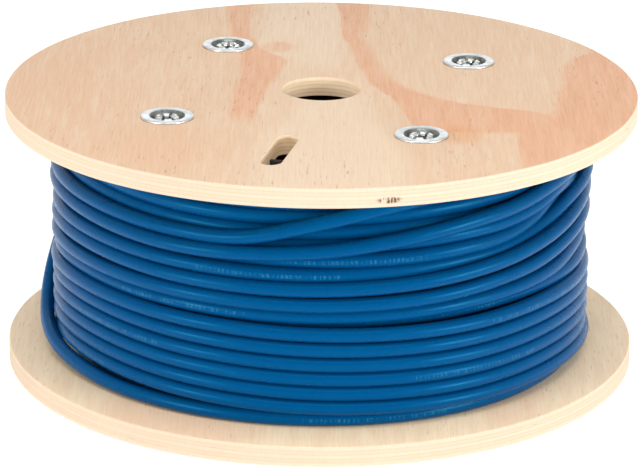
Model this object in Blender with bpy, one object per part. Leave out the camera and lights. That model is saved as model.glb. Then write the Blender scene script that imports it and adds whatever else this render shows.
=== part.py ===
"""A plywood wire spool, wound full with round cable and standing on one flange.

Metres, +Z up along the spool's axis. The origin is on that axis, level with the rims of the
lower washers, which the spool stands on. The start slot in the upper flange lies towards -Y.
"""

import math

import bmesh
import bpy
from mathutils import Vector

MM = 0.001

# Clearance between pieces that touch
GAP = 0.3 * MM

# Flanges: two round plywood boards, bored for a spindle
FLANGE_RADIUS = 152.5 * MM
FLANGE_THICKNESS = 9.5 * MM
FLANGE_EASING = 0.5 * MM
ARBOR_RADIUS = 19.0 * MM
HEIGHT_OVER_FLANGES = 134.0 * MM

# Barrel: a plain tube that sits in a ring groove in each flange
BARREL_RADIUS = 95.0 * MM
BARREL_WALL = 3.0 * MM
GROOVE_DEPTH = 3.0 * MM

# Ties: four steel tubes that clamp the flanges on the barrel
TIE_COUNT = 4
TIE_CIRCLE_RADIUS = 86.3 * MM
TIE_FIRST_ANGLE = math.radians(32.8)
TUBE_RADIUS = 4.0 * MM
TUBE_BORE_RADIUS = 3.0 * MM

# Petals: each end of a tie tube is split and rolled out over its washer
PETAL_COUNT = 6
PETAL_TIP_RADIUS = 6.0 * MM
PETAL_HEIGHT = 2.2 * MM
PETAL_SLOT_WIDTH = 1.1 * MM
PETAL_SLOT_DEPTH = 0.8 * MM

# Dished washers: a flat rim, and a bowl let into the board
WASHER_RADIUS = 12.5 * MM
WASHER_GAUGE = 1.0 * MM
WASHER_RIM_PROUD = 0.8 * MM
DISH_MOUTH_RADIUS = 8.0 * MM
DISH_FLOOR_RADIUS = 6.6 * MM
DISH_DEPTH = 3.0 * MM
WASHER_BORE_RADIUS = TUBE_RADIUS + GAP

# Start slot: lets the cable's inner end out through the upper flange
SLOT_CENTRE = (-19.0 * MM, -96.3 * MM)
SLOT_LENGTH = 46.0 * MM
SLOT_WIDTH = 10.6 * MM
SLOT_ANGLE = math.radians(77.5)

# Cable: sixteen turns a layer, in five layers. The outer layer leaves the upper turns bare.
CABLE_RADIUS = 3.5 * MM
TURNS_PER_LAYER = 16
WINDING_RADIUS = 130.4 * MM
GROOVE_BETWEEN_TURNS = 2.0 * MM
UPPER_TURNS = 4
UPPER_TURNS_SET_IN = 4.7 * MM

# The cable's inner end, leaning outwards in the start slot
INNER_END_RADIUS_ON_SPOOL = 100.5 * MM
INNER_END_LEAN = math.radians(35.0)
INNER_END_RISE = 3.6 * MM

# The outer layer's first turn comes from under the upper flange and crosses the bare upper
# turns on its way down to its own layer
CROSSING_TURN_START_ANGLE = math.radians(10.0)
CROSSING_TURN_END_ANGLE = math.radians(-116.0)
CROSSING_ANGLES = (math.radians(-64.0), math.radians(-114.0))
CROSSING_DROP = 21.3 * MM
CROSSING_TURN_POINTS = 30

# The cable's last turn starts beside the lower flange, climbs the winding at the back and ends
# under the upper flange
LAST_TURN_START_ANGLE = math.radians(-150.0)
LAST_TURN_END_ANGLE = math.radians(-277.0)
LAST_TURN_START_HEIGHT = 15.5 * MM
CLIMBING_ANGLES = (math.radians(-164.0), math.radians(-247.0))
LAST_TURN_LEAVES_ANGLE = math.radians(-247.0)
CABLE_END_RADIUS_ON_SPOOL = 137.2 * MM
LAST_TURN_POINTS = 38

# Staples: two wire staples that pin the cable's outer end to the upper flange
STAPLE_ANGLES = (math.radians(-268.0), math.radians(-248.0))
STAPLE_WIRE_RADIUS = 0.9 * MM
STAPLE_LEG_DEPTH = 6.0 * MM
STAPLE_CORNER_RADIUS = 2.5 * MM
STAPLE_CORNER_STEPS = 4

# Levels along the axis
BOTTOM_OUTER = WASHER_RIM_PROUD
BOTTOM_INNER = BOTTOM_OUTER + FLANGE_THICKNESS
TOP_OUTER = BOTTOM_OUTER + HEIGHT_OVER_FLANGES
TOP_INNER = TOP_OUTER - FLANGE_THICKNESS

# Facets around each kind of round piece, and the edge angle above which shading stays crisp
SHARP_ANGLE = 35.0
SPOOL_SEGMENTS = 60
WINDING_SEGMENTS = 40
WASHER_SEGMENTS = 20
TUBE_SEGMENTS = 18
CUTTER_REACH = 3.0 * MM


def clear_scene():
    for old in list(bpy.data.objects):
        bpy.data.objects.remove(old, do_unlink=True)


def make_material(name, colour, roughness, metallic=0.0):
    material = bpy.data.materials.new(name)
    material.use_nodes = True
    shader = material.node_tree.nodes["Principled BSDF"]
    shader.inputs["Base Color"].default_value = (*colour, 1.0)
    shader.inputs["Roughness"].default_value = roughness
    shader.inputs["Metallic"].default_value = metallic
    material.diffuse_color = (*colour, 1.0)
    return material


def on_spool(radius, angle, z):
    """A point at a radius and an angle about the spool's axis."""
    return Vector((radius * math.cos(angle), radius * math.sin(angle), z))


def ring_of(bm, radius, z, segments):
    return [bm.verts.new(on_spool(radius, math.tau * i / segments, z)) for i in range(segments)]


def bridge(bm, lower, upper):
    count = len(lower)
    for i in range(count):
        j = (i + 1) % count
        bm.faces.new((lower[i], lower[j], upper[j], upper[i]))


def finish(bm, name, material):
    """Turns a bmesh into a named object with its faces pointing out."""
    bmesh.ops.recalc_face_normals(bm, faces=bm.faces)
    mesh = bpy.data.meshes.new(name)
    bm.to_mesh(mesh)
    bm.free()
    mesh.shade_smooth()
    mesh.set_sharp_from_angle(angle=math.radians(SHARP_ANGLE))
    if material is not None:
        mesh.materials.append(material)
    piece = bpy.data.objects.new(name, mesh)
    bpy.context.scene.collection.objects.link(piece)
    return piece


def turned_ring(name, profile, segments, material):
    """A ring solid, from a closed profile of (radius, z) points clear of the axis."""
    bm = bmesh.new()
    rings = [ring_of(bm, radius, z, segments) for radius, z in profile]
    for i, ring in enumerate(rings):
        bridge(bm, ring, rings[(i + 1) % len(rings)])
    return finish(bm, name, material)


def hide_cutter(cutter):
    cutter.hide_render = True
    cutter.display_type = "WIRE"
    return cutter


def turned_cutter(name, profile, segments):
    """A solid cutter, from a profile of (radius, z) points whose ends are closed by flat caps."""
    bm = bmesh.new()
    rings = [ring_of(bm, radius, z, segments) for radius, z in profile]
    for lower, upper in zip(rings, rings[1:]):
        bridge(bm, lower, upper)
    bm.faces.new(rings[0])
    bm.faces.new(rings[-1])
    return hide_cutter(finish(bm, name, None))


def prism_cutter(name, outline, bottom, top):
    """A solid cutter, from an outline of (x, y) points drawn up from bottom to top."""
    bm = bmesh.new()
    lower = [bm.verts.new((x, y, bottom)) for x, y in outline]
    upper = [bm.verts.new((x, y, top)) for x, y in outline]
    bridge(bm, lower, upper)
    bm.faces.new(lower)
    bm.faces.new(upper)
    return hide_cutter(finish(bm, name, None))


def cut(piece, cutter):
    boolean = piece.modifiers.new(cutter.name, "BOOLEAN")
    boolean.operation = "DIFFERENCE"
    boolean.solver = "EXACT"
    boolean.object = cutter


def tie_angles():
    return [TIE_FIRST_ANGLE + math.tau * i / TIE_COUNT for i in range(TIE_COUNT)]


# ---- Flanges ----


def flange_profile(outer, inwards):
    """One flange's half section. inwards is +1 where the winding is above the board, -1 below."""
    inner = outer + inwards * FLANGE_THICKNESS
    groove_floor = inner - inwards * GROOVE_DEPTH
    easing = inwards * FLANGE_EASING
    groove_out = BARREL_RADIUS + GAP
    groove_in = BARREL_RADIUS - BARREL_WALL - GAP
    return [
        (ARBOR_RADIUS, outer),
        (FLANGE_RADIUS - FLANGE_EASING, outer),
        (FLANGE_RADIUS, outer + easing),
        (FLANGE_RADIUS, inner - easing),
        (FLANGE_RADIUS - FLANGE_EASING, inner),
        (groove_out, inner),
        (groove_out, groove_floor),
        (groove_in, groove_floor),
        (groove_in, inner),
        (ARBOR_RADIUS, inner),
    ]


def tie_seat(name, angle, outer, inwards):
    """Cuts a washer's rebate, its bowl and the tie's hole, one under the other."""
    rebate = WASHER_GAUGE - WASHER_RIM_PROUD + GAP
    bowl = DISH_DEPTH + WASHER_GAUGE - WASHER_RIM_PROUD + GAP
    profile = [
        (WASHER_RADIUS + GAP, outer - inwards * CUTTER_REACH),
        (WASHER_RADIUS + GAP, outer + inwards * rebate),
        (DISH_MOUTH_RADIUS + WASHER_GAUGE, outer + inwards * rebate),
        (DISH_FLOOR_RADIUS + 2 * GAP, outer + inwards * bowl),
        (TUBE_RADIUS + GAP, outer + inwards * bowl),
        (TUBE_RADIUS + GAP, outer + inwards * (FLANGE_THICKNESS + CUTTER_REACH)),
    ]
    seat = turned_cutter(name, profile, WASHER_SEGMENTS)
    seat.location = on_spool(TIE_CIRCLE_RADIUS, angle, 0.0)
    return seat


def slot_outline():
    """A long hole with half-round ends, centred on the slot and lying along its angle."""
    end_radius = SLOT_WIDTH / 2
    straight = SLOT_LENGTH / 2 - end_radius
    arc_steps = 8
    points = []
    for side in (1, -1):
        for step in range(arc_steps + 1):
            turn = SLOT_ANGLE + math.pi * (step / arc_steps - 0.5) + (0 if side > 0 else math.pi)
            points.append(
                (
                    SLOT_CENTRE[0] + side * straight * math.cos(SLOT_ANGLE) + end_radius * math.cos(turn),
                    SLOT_CENTRE[1] + side * straight * math.sin(SLOT_ANGLE) + end_radius * math.sin(turn),
                )
            )
    return points


def staple_legs(angle):
    """The radii of a staple's two legs, astride the cable at that angle."""
    middle = last_turn_radius(angle)
    half_span = CABLE_RADIUS + GAP + STAPLE_WIRE_RADIUS
    return middle - half_span, middle + half_span


def make_flanges(plywood):
    lower = turned_ring("flange_bottom", flange_profile(BOTTOM_OUTER, 1), SPOOL_SEGMENTS, plywood)
    upper = turned_ring("flange_top", flange_profile(TOP_OUTER, -1), SPOOL_SEGMENTS, plywood)
    for number, angle in enumerate(tie_angles(), 1):
        cut(lower, tie_seat(f"cut_seat_bottom_{number}", angle, BOTTOM_OUTER, 1))
        cut(upper, tie_seat(f"cut_seat_top_{number}", angle, TOP_OUTER, -1))
    cut(
        upper,
        prism_cutter("cut_slot", slot_outline(), TOP_INNER - CUTTER_REACH, TOP_OUTER + CUTTER_REACH),
    )
    hole_radius = STAPLE_WIRE_RADIUS + GAP
    hole_top = TOP_INNER + STAPLE_LEG_DEPTH + GAP
    for number, angle in enumerate(STAPLE_ANGLES, 1):
        for side, radius in zip(("in", "out"), staple_legs(angle)):
            hole = [(hole_radius, TOP_INNER - CUTTER_REACH), (hole_radius, hole_top)]
            drill = turned_cutter(f"cut_staple_{number}_{side}", hole, 10)
            drill.location = on_spool(radius, angle, 0.0)
            cut(upper, drill)


# ---- Barrel ----


def make_barrel(fibreboard):
    bottom = BOTTOM_INNER - GROOVE_DEPTH + GAP
    top = TOP_INNER + GROOVE_DEPTH - GAP
    inside = BARREL_RADIUS - BARREL_WALL
    profile = [(BARREL_RADIUS, bottom), (BARREL_RADIUS, top), (inside, top), (inside, bottom)]
    turned_ring("barrel_tube", profile, SPOOL_SEGMENTS, fibreboard)


# ---- Washers ----


def washer_profile(outer, inwards):
    """A dished washer's half section, on the flange face at outer."""
    rim = outer - inwards * WASHER_RIM_PROUD
    depths = [
        (WASHER_RADIUS, 0.0),
        (DISH_MOUTH_RADIUS, 0.0),
        (DISH_FLOOR_RADIUS, DISH_DEPTH),
        (WASHER_BORE_RADIUS, DISH_DEPTH),
        (WASHER_BORE_RADIUS, DISH_DEPTH + WASHER_GAUGE),
        (DISH_FLOOR_RADIUS + GAP, DISH_DEPTH + WASHER_GAUGE),
        (DISH_MOUTH_RADIUS + 2 * GAP, WASHER_GAUGE),
        (WASHER_RADIUS, WASHER_GAUGE),
    ]
    return [(radius, rim + inwards * depth) for radius, depth in depths]


def make_washers(steel):
    for end, outer, inwards in (("top", TOP_OUTER, -1), ("bottom", BOTTOM_OUTER, 1)):
        for number, angle in enumerate(tie_angles(), 1):
            profile = washer_profile(outer, inwards)
            washer = turned_ring(f"washer_{end}_{number}", profile, WASHER_SEGMENTS, steel)
            washer.location = on_spool(TIE_CIRCLE_RADIUS, angle, 0.0)


# ---- Tie tubes ----


def petal_section():
    """The rolled end's half section, as (radius, height above the washer's floor)."""
    inside = TUBE_BORE_RADIUS
    outside = TUBE_RADIUS
    return [
        (inside, 0.45 * PETAL_HEIGHT),
        (inside + 0.25 * (PETAL_TIP_RADIUS - inside), 0.9 * PETAL_HEIGHT),
        (inside + 0.6 * (PETAL_TIP_RADIUS - inside), PETAL_HEIGHT),
        (PETAL_TIP_RADIUS - GAP, 0.7 * PETAL_HEIGHT),
        (PETAL_TIP_RADIUS, 0.25 * PETAL_HEIGHT),
        (PETAL_TIP_RADIUS - 2 * GAP, 0.2 * PETAL_HEIGHT),
        (outside + 2 * GAP, 0.5 * PETAL_HEIGHT),
        (outside, 0.15 * PETAL_HEIGHT),
    ]


def tie_tube_mesh(steel):
    """One tie tube on the spool's axis, slotted at both ends, with its cuts applied."""
    top_floor = TOP_OUTER + WASHER_RIM_PROUD - DISH_DEPTH
    bottom_floor = BOTTOM_OUTER - WASHER_RIM_PROUD + DISH_DEPTH
    section = petal_section()
    profile = [(radius, top_floor + height) for radius, height in section]
    profile += [(radius, bottom_floor - height) for radius, height in reversed(section)]
    tube = turned_ring("tie_tube", profile, TUBE_SEGMENTS, steel)
    reach = PETAL_TIP_RADIUS + CUTTER_REACH
    half = PETAL_SLOT_WIDTH / 2
    ends = (
        ("top", top_floor - PETAL_SLOT_DEPTH, top_floor + CUTTER_REACH),
        ("bottom", bottom_floor - CUTTER_REACH, bottom_floor + PETAL_SLOT_DEPTH),
    )
    cutters = []
    for end, low, high in ends:
        for number in range(PETAL_COUNT // 2):
            outline = [(-reach, -half), (reach, -half), (reach, half), (-reach, half)]
            saw = prism_cutter(f"cut_petal_{end}_{number}", outline, low, high)
            saw.rotation_euler.z = math.pi * (number + 0.5) * 2 / PETAL_COUNT
            cut(tube, saw)
            cutters.append(saw)
    bpy.context.view_layer.update()
    finished = bpy.data.meshes.new_from_object(tube.evaluated_get(bpy.context.evaluated_depsgraph_get()))
    finished.name = "tie_tube_slotted"
    for used in (tube, *cutters):
        bpy.data.objects.remove(used, do_unlink=True)
    return finished


def make_tie_tubes(steel):
    mesh = tie_tube_mesh(steel)
    for number, angle in enumerate(tie_angles(), 1):
        tube = bpy.data.objects.new(f"tie_tube_{number}", mesh)
        bpy.context.scene.collection.objects.link(tube)
        tube.location = on_spool(TIE_CIRCLE_RADIUS, angle, 0.0)
        tube.rotation_euler.z = angle


# ---- Cable ----


def turn_crest(turn):
    """How far out each turn reaches, counted from the lower flange."""
    if turn >= TURNS_PER_LAYER - UPPER_TURNS:
        return WINDING_RADIUS - UPPER_TURNS_SET_IN
    return WINDING_RADIUS


def winding_profile():
    """The winding's half section: the barrel side, and one crest for each turn outside."""
    bottom = BOTTOM_INNER + GAP
    top = TOP_INNER - GAP
    pitch = (top - bottom) / TURNS_PER_LAYER
    bore = BARREL_RADIUS + 2 * GAP
    points = [(bore, bottom), (turn_crest(0) - GROOVE_BETWEEN_TURNS, bottom)]
    for turn in range(TURNS_PER_LAYER):
        if turn > 0:
            lower_crest = min(turn_crest(turn - 1), turn_crest(turn))
            points.append((lower_crest - GROOVE_BETWEEN_TURNS, bottom + pitch * turn))
        points.append((turn_crest(turn), bottom + pitch * (turn + 0.5)))
    points.append((turn_crest(TURNS_PER_LAYER - 1) - GROOVE_BETWEEN_TURNS, top))
    return [*points, (bore, top)]


def eased(value, start, end):
    """0 before start, 1 after end, and a smooth step between them."""
    share = min(max((value - start) / (end - start), 0.0), 1.0)
    return share * share * (3 - 2 * share)


def under_flange():
    """The height of a turn that lies against the upper flange."""
    return TOP_INNER - GAP - CABLE_RADIUS


def last_turn_radius(angle):
    """The last turn's distance from the axis: against the winding, then easing away from it."""
    resting = WINDING_RADIUS + GAP + CABLE_RADIUS
    away = CABLE_END_RADIUS_ON_SPOOL - resting
    return resting + away * eased(angle, LAST_TURN_LEAVES_ANGLE, LAST_TURN_END_ANGLE)


def round_bar(name, points, radius, resolution, material):
    """A round bar along a list of points, with flat ends."""
    curve = bpy.data.curves.new(name, "CURVE")
    curve.dimensions = "3D"
    curve.bevel_depth = radius
    curve.bevel_resolution = resolution
    curve.use_fill_caps = True
    curve.materials.append(material)
    spline = curve.splines.new("POLY")
    spline.points.add(len(points) - 1)
    for control, point in zip(spline.points, points):
        control.co = (*point, 1.0)
    bar = bpy.data.objects.new(name, curve)
    bpy.context.scene.collection.objects.link(bar)
    return bar


def make_crossing_turn(jacket):
    sweep = CROSSING_TURN_END_ANGLE - CROSSING_TURN_START_ANGLE
    radius = WINDING_RADIUS - UPPER_TURNS_SET_IN + GAP + CABLE_RADIUS
    points = []
    for step in range(CROSSING_TURN_POINTS):
        angle = CROSSING_TURN_START_ANGLE + sweep * step / (CROSSING_TURN_POINTS - 1)
        height = under_flange() - CROSSING_DROP * eased(angle, *CROSSING_ANGLES)
        points.append(on_spool(radius, angle, height))
    round_bar("cable_crossing_turn", points, CABLE_RADIUS, 2, jacket)


def make_last_turn(jacket):
    sweep = LAST_TURN_END_ANGLE - LAST_TURN_START_ANGLE
    climb = under_flange() - LAST_TURN_START_HEIGHT
    points = []
    for step in range(LAST_TURN_POINTS):
        angle = LAST_TURN_START_ANGLE + sweep * step / (LAST_TURN_POINTS - 1)
        height = LAST_TURN_START_HEIGHT + climb * eased(angle, *CLIMBING_ANGLES)
        points.append(on_spool(last_turn_radius(angle), angle, height))
    round_bar("cable_last_turn", points, CABLE_RADIUS, 2, jacket)


def make_inner_end(jacket):
    """A short stub with a level foot on the winding and a square-cut end in the start slot."""
    along_slot = Vector((-math.cos(SLOT_ANGLE), -math.sin(SLOT_ANGLE), 0.0))
    across_slot = Vector((-along_slot.y, along_slot.x, 0.0))
    centre = Vector((*SLOT_CENTRE, TOP_INNER))
    foot = centre + along_slot * (INNER_END_RADIUS_ON_SPOOL - centre.xy.length)
    axis = along_slot * math.sin(INNER_END_LEAN) + Vector((0.0, 0.0, math.cos(INNER_END_LEAN)))
    tip = foot + axis * (INNER_END_RISE / math.cos(INNER_END_LEAN))
    square = across_slot.cross(axis)
    sides = 14
    bm = bmesh.new()
    lower = []
    upper = []
    for side in range(sides):
        turn = math.tau * side / sides
        across = across_slot * (CABLE_RADIUS * math.cos(turn))
        spread = CABLE_RADIUS * math.sin(turn)
        lower.append(bm.verts.new(foot + across + along_slot * (spread / math.cos(INNER_END_LEAN))))
        upper.append(bm.verts.new(tip + across + square * spread))
    bridge(bm, lower, upper)
    bm.faces.new(lower)
    bm.faces.new(upper)
    finish(bm, "cable_inner_end", jacket)


def make_cable(jacket):
    turned_ring("cable_winding", winding_profile(), WINDING_SEGMENTS, jacket)
    make_crossing_turn(jacket)
    make_last_turn(jacket)
    make_inner_end(jacket)


# ---- Staples ----


def staple_points(angle):
    """A square-shouldered U, hung from the upper flange with its crown under the cable."""
    inner_leg, outer_leg = staple_legs(angle)
    top = TOP_INNER + STAPLE_LEG_DEPTH
    crown = TOP_INNER - 2 * GAP - 2 * CABLE_RADIUS - STAPLE_WIRE_RADIUS
    bend = STAPLE_CORNER_RADIUS
    points = [on_spool(inner_leg, angle, top)]
    for centre, first_turn in ((inner_leg + bend, math.pi), (outer_leg - bend, 1.5 * math.pi)):
        for step in range(STAPLE_CORNER_STEPS + 1):
            turn = first_turn + 0.5 * math.pi * step / STAPLE_CORNER_STEPS
            points.append(
                on_spool(centre + bend * math.cos(turn), angle, crown + bend + bend * math.sin(turn))
            )
    return [*points, on_spool(outer_leg, angle, top)]


def make_staples(wire):
    for number, angle in enumerate(STAPLE_ANGLES, 1):
        round_bar(f"end_staple_{number}", staple_points(angle), STAPLE_WIRE_RADIUS, 1, wire)


def main():
    clear_scene()
    plywood = make_material("plywood", (0.80, 0.62, 0.42), 0.6)
    fibreboard = make_material("fibreboard", (0.45, 0.32, 0.20), 0.8)
    steel = make_material("zinc_steel", (0.72, 0.73, 0.72), 0.35, 1.0)
    wire = make_material("staple_wire", (0.60, 0.60, 0.58), 0.4, 1.0)
    jacket = make_material("blue_jacket", (0.004, 0.13, 0.39), 0.4)
    make_flanges(plywood)
    make_barrel(fibreboard)
    make_washers(steel)
    make_tie_tubes(steel)
    make_cable(jacket)
    make_staples(wire)


main()
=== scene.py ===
"""A plywood wire spool wound with blue data cable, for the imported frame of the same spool.

Metres and degrees, +Z up along the spool's axis. The start slot in the upper flange lies
towards -Y, which is where the camera stands.
"""

from functools import partialmethod
from math import ceil, cos, pi, radians, sin, sqrt, tau

import bmesh
import bpy
import numpy as np
from mathutils import Matrix, Vector


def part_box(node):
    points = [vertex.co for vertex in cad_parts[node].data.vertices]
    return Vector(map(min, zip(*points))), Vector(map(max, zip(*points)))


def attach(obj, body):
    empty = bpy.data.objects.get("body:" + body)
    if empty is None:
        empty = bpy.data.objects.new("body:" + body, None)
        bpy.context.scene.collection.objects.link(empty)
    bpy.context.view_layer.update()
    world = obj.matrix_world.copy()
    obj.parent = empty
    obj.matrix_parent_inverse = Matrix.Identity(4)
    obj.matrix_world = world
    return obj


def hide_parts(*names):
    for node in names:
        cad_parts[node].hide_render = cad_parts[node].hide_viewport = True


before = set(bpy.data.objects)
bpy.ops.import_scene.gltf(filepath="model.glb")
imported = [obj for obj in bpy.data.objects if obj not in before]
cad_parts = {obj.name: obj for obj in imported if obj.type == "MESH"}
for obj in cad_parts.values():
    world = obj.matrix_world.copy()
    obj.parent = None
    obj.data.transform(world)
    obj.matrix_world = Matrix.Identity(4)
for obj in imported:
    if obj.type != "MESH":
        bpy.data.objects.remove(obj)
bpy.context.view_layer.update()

MM = 0.001

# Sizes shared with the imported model
FLANGE_RADIUS = 152.5 * MM
ARBOR_RADIUS = 19.0 * MM
BARREL_RADIUS = 95.0 * MM
BARREL_WALL = 3.0 * MM
GROOVE_DEPTH = 3.0 * MM
TIE_RADIUS = 86.3 * MM
TIE_ANGLES = [radians(32.8 + 90.0 * i) for i in range(4)]
TUBE_RADIUS = 4.0 * MM
TUBE_BORE = 3.0 * MM
WASHER_RADIUS = 12.5 * MM
WASHER_GAUGE = 1.0 * MM
WASHER_PROUD = 0.8 * MM
DISH_MOUTH = 8.0 * MM
DISH_FLOOR = 6.6 * MM
DISH_DEPTH = 3.0 * MM
SLOT_CENTRE = Vector((-19.0 * MM, -96.3 * MM))
SLOT_LENGTH = 46.0 * MM
SLOT_WIDTH = 10.6 * MM
SLOT_ANGLE = radians(77.5)
CABLE_RADIUS = 3.5 * MM
CABLE_DIAMETER = 2 * CABLE_RADIUS
GAP = 0.3 * MM
STAPLE_ANGLES = [radians(a) for a in (-268.0, -248.0)]
STAPLE_WIRE = 0.9 * MM
STAPLE_DEPTH = 6.0 * MM

# Levels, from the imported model
BOTTOM_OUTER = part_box("flange_bottom")[0].z
BOTTOM_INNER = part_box("flange_bottom")[1].z
TOP_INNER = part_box("flange_top")[0].z
TOP_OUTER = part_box("flange_top")[1].z

LOWEST_LANE = BOTTOM_INNER + GAP / 2 + CABLE_RADIUS
HIGHEST_LANE = TOP_INNER - GAP - CABLE_RADIUS

# Details of the visible pieces
BOARD_SEGMENTS = 288
BOARD_WOBBLE = 0.18 * MM
EDGE_EASING = 0.6 * MM
BORE_EASING = 0.25 * MM
PLY_COUNT = 5
CUTTER_OVERSHOOT = 3.0 * MM
SPLINTERS = 12
FIRST_TORN_STATION = 19
TORN_STATIONS = 13
PETAL_REACH = 6.0 * MM
SAW_CUTS = 3
STAPLE_BEND = 2.5 * MM
STAPLE_SIDES = 14
STAPLE_FLATNESS = 0.82
CUT_SIDES = 28
CUT_RECESS = -0.9 * MM
CORE_SIDES = 12
CORE_RADIUS = 0.52 * MM
CORE_CIRCLE = 1.55 * MM


# ---- Small helpers ----


def link(piece):
    bpy.context.scene.collection.objects.link(piece)
    return piece


def on_spool(radius, angle, z):
    return Vector((radius * cos(angle), radius * sin(angle), z))


def smoothstep(value, start, end):
    share = np.clip((np.asarray(value, float) - start) / (end - start), 0.0, 1.0)
    return share * share * (3 - 2 * share)


def arc(centre, reach, first, sweep, steps):
    """Points on an arc, from its middle, its half sizes, its first angle and how far it turns."""
    turns = [first + sweep * step / steps for step in range(steps + 1)]
    return [
        (centre[0] + reach[0] * cos(turn), centre[1] + reach[1] * sin(turn))
        for turn in turns
    ]


def place(piece, materials, slot, *nodes):
    """Gives a finished piece its looks, attaches it to the root body and hides the CAD nodes it
    stands for. slot is not used.
    """
    for material in materials:
        piece.data.materials.append(material)
    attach(piece, "root")
    if nodes:
        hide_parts(*nodes)
    return piece


# ---- The cable's route ----
#
# The cable is wound with falling azimuth. Its inner end starts in the slot of the upper flange.
# Four layers fill the spool, down, up, down and up. The fifth starts under the upper flange,
# crosses down over the last turns of the fourth at the front, and winds down to the lower
# flange. There the cable leaves the winding, climbs its back and ends under two staples.
#
# Each turn of the visible layers is a row of (azimuth, height in mm, radius in mm).

REGULAR_AZIMUTHS = (0, -30, -60, -90, -120, -150, -180)
REGULAR_WAVE = (-3.8, -0.8, -0.9, 0.0, 1.8, 2.9, -1.7)
REGULAR_RADII = (126.9, 129.0, 129.6, 128.8, 127.8, 127.2, 126.9)
REGULAR_LANES = (56.3, 48.8, 41.6, 34.6, 27.6, 20.4)

CROSSING_TURN = [
    (0, 121.4, 128.6), (-30, 121.4, 129.4), (-60, 121.2, 129.8), (-70, 119.8, 130.0),
    (-77, 117.2, 130.1), (-84, 113.8, 130.2), (-90, 110.6, 130.2), (-97, 106.5, 130.0),
    (-104, 102.3, 129.0), (-112, 99.9, 127.8), (-120, 99.6, 127.2), (-150, 101.3, 127.5),
    (-180, 100.0, 127.0),
]
PROUD_TURN = [
    (0, 113.0, 126.4), (-30, 111.6, 128.4), (-45, 107.4, 129.2), (-60, 104.6, 129.6),
    (-75, 101.0, 130.0), (-90, 97.3, 130.0), (-105, 95.4, 129.8), (-120, 94.8, 129.4),
    (-150, 95.5, 128.2), (-180, 95.5, 127.5),
]
TURN_11 = [
    (0, 104.0, 125.4), (-8, 103.6, 125.4), (-15, 102.4, 125.4), (-23, 99.8, 125.6),
    (-30, 96.2, 125.8), (-36, 93.0, 125.8), (-47, 89.0, 125.8), (-60, 86.8, 125.2),
    (-90, 85.6, 126.0), (-120, 85.7, 126.3), (-150, 85.3, 126.0), (-180, 82.5, 126.0),
]
TURN_10 = [
    (0, 93.6, 127.0), (-8, 93.6, 127.4), (-15, 93.6, 128.4), (-22, 92.9, 129.4),
    (-30, 90.7, 130.3), (-40, 87.2, 130.3), (-47, 84.8, 130.1), (-60, 81.8, 130.0),
    (-90, 79.4, 129.2), (-120, 79.2, 128.0), (-150, 80.9, 127.4), (-180, 76.5, 126.9),
]
TURN_9 = [
    (0, 82.0, 127.0), (-8, 82.4, 127.6), (-17, 82.2, 128.8), (-22, 81.2, 129.4),
    (-30, 78.8, 129.8), (-40, 75.8, 129.8), (-50, 74.0, 129.6), (-60, 72.4, 129.5),
    (-90, 70.5, 129.0), (-120, 70.6, 128.0), (-150, 69.2, 127.0), (-180, 66.0, 126.9),
]
TURN_8 = [
    (0, 69.0, 124.0), (-20, 67.3, 124.0), (-30, 66.0, 125.5), (-60, 64.4, 126.0),
    (-90, 64.1, 126.0), (-120, 64.8, 125.5), (-150, 63.6, 125.0), (-180, 60.0, 124.5),
]
LOWEST_TURN = [
    (0, 13.9, 124.0), (-30, 13.9, 124.6), (-60, 13.9, 126.1), (-90, 13.9, 126.0),
    (-120, 13.9, 126.8), (-150, 15.5, 129.8), (-165, 18.5, 132.0), (-180, 25.0, 133.0),
]
CLIMB_TO_END = [
    (-190, 36.5, 133.8), (-200, 53.0, 134.1), (-215, 81.5, 134.2), (-228, 104.0, 134.2),
    (-238, 116.5, 134.2), (-246, 121.2, 134.2), (-256, 121.4, 134.8), (-268, 121.4, 136.5),
    (-277, 121.4, 137.2),
]

# The fourth layer's turns that show: two that surface at the right, and the three at the top
SURFACING_TURN_7 = [
    (0, 60.8, 126.4), (-20, 60.6, 126.4), (-40, 61.2, 124.0), (-60, 60.4, 121.5),
    (-90, 60.0, 119.8), (-120, 60.0, 119.8), (-150, 60.0, 119.8), (-180, 62.0, 119.8),
]
SURFACING_TURN_11 = [
    (0, 98.0, 120.6), (-15, 99.5, 121.0), (-23, 101.0, 122.4), (-30, 101.2, 124.6),
    (-38, 96.8, 126.4), (-45, 93.8, 127.2), (-60, 92.5, 128.0), (-75, 91.0, 126.5),
    (-90, 89.8, 124.6), (-120, 89.6, 123.5), (-150, 88.6, 123.5), (-180, 89.0, 122.5),
]
SURFACING_TURN_12 = [
    (0, 104.0, 120.4), (-15, 105.5, 121.4), (-23, 106.4, 123.0), (-30, 106.2, 125.0),
    (-38, 102.4, 126.2), (-45, 100.0, 126.4), (-60, 98.6, 126.4), (-75, 97.4, 124.0),
    (-90, 97.2, 122.0), (-120, 96.5, 121.5), (-150, 97.5, 121.0), (-180, 98.5, 121.0),
]
UPPER_TURN_1 = [
    (0, 104.0, 120.5), (-30, 107.5, 121.5), (-60, 105.5, 122.5), (-90, 103.8, 122.8),
    (-120, 103.9, 122.8), (-150, 106.2, 122.8), (-180, 107.0, 122.8),
]
UPPER_TURN_2 = [
    (0, 110.0, 119.8), (-30, 110.8, 122.0), (-60, 111.0, 122.8), (-90, 110.4, 122.8),
    (-120, 110.8, 122.8), (-150, 113.0, 122.8), (-180, 114.2, 122.8),
]
UPPER_TURN_3 = [
    (0, 117.5, 119.8), (-30, 117.9, 122.0), (-60, 118.0, 122.8), (-90, 117.5, 122.8),
    (-120, 118.0, 122.8), (-150, 120.0, 122.8), (-180, 121.2, 123.4),
]

# The fourth layer's other turns, which nothing shows
HIDDEN_LANES_LOW = (13.9, 21.4, 29.0, 36.6, 44.2, 51.8)
HIDDEN_LANES_HIGH = (67.5, 75.0, 82.5)
FOURTH_LAYER_RADIUS = 119.8

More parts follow.
